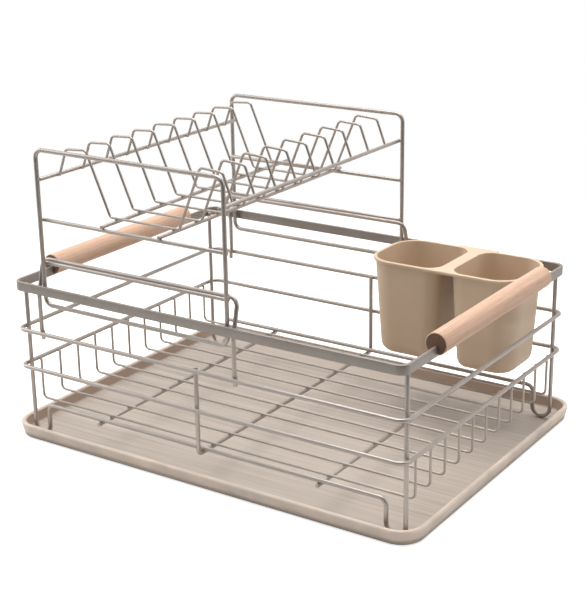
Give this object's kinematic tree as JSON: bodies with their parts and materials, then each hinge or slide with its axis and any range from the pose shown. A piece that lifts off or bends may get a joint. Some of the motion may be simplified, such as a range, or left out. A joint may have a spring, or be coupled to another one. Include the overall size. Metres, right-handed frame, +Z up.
{
  "type": "dish rack",
  "caption": "Two-tier wire dish rack: drip tray, basket with flat rim and round wooden handles, lift-off plate tier with angled dividers, hanging two-cup cutlery caddy",
  "frame": {"origin": "centre of the drip tray's underside, on the table", "axes": "+X along the long side to the caddy's side, +Y to the back, +Z up"},
  "size_m": [0.4449, 0.3328, 0.2893],
  "materials": {
    "tray_plastic": "moulded, the floor finely brushed along the length",
    "rim_coating": "satin powder coat",
    "wire_coating": "satin powder coat",
    "handle_wood": "smooth light beech, clear matt oil, dark end grain",
    "caddy_plastic": "fine matte moulded"
  },
  "bodies": {
    "drip_tray": {"drip_tray": "tray_plastic"},
    "basket": {"rim_bar": "rim_coating", "handle_left": "handle_wood", "handle_right": "handle_wood", "mid_ring": "wire_coating", "lower_ring": "wire_coating", "front_leg_wire": "wire_coating", "back_leg_wire": "wire_coating", "middle_cross_wire": "wire_coating", "side_cross_wire_left": "wire_coating", "side_cross_wire_right": "wire_coating", "grid_wire_01": "wire_coating", "grid_wire_02": "wire_coating", "grid_wire_03": "wire_coating", "grid_wire_04": "wire_coating", "grid_wire_05": "wire_coating", "grid_wire_06": "wire_coating", "grid_wire_07": "wire_coating", "grid_wire_08": "wire_coating", "grid_wire_09": "wire_coating", "grid_wire_10": "wire_coating", "grid_wire_11": "wire_coating"},
    "cutlery_caddy": {"cutlery_caddy": "caddy_plastic"},
    "upper_tier": {"tier_end_frame_front": "wire_coating", "tier_middle_bar_front": "wire_coating", "tier_lower_bar_front": "wire_coating", "tier_hook_wire_front": "wire_coating", "tier_end_frame_back": "wire_coating", "tier_middle_bar_back": "wire_coating", "tier_lower_bar_back": "wire_coating", "tier_hook_wire_back": "wire_coating", "tier_top_rail_left": "wire_coating", "tier_base_rail_left": "wire_coating", "tier_top_rail_right": "wire_coating", "tier_base_rail_right": "wire_coating", "plate_divider_1": "wire_coating", "plate_divider_2": "wire_coating", "plate_divider_3": "wire_coating", "plate_divider_4": "wire_coating", "plate_divider_5": "wire_coating", "plate_divider_6": "wire_coating", "plate_divider_7": "wire_coating", "plate_divider_8": "wire_coating", "plate_divider_9": "wire_coating"}
  },
  "joints": [
    {"name": "basket_lift", "type": "slide", "parent": "drip_tray", "child": "basket", "axis": [0, 0, 1], "range_m": [0, 0.06]},
    {"name": "tier_lift", "type": "slide", "parent": "basket", "child": "upper_tier", "axis": [0, 0, 1], "range_m": [0, 0.075]},
    {"name": "caddy_lift", "type": "slide", "parent": "basket", "child": "cutlery_caddy", "axis": [0, 0, 1], "range_m": [0, 0.11]}
  ]
}
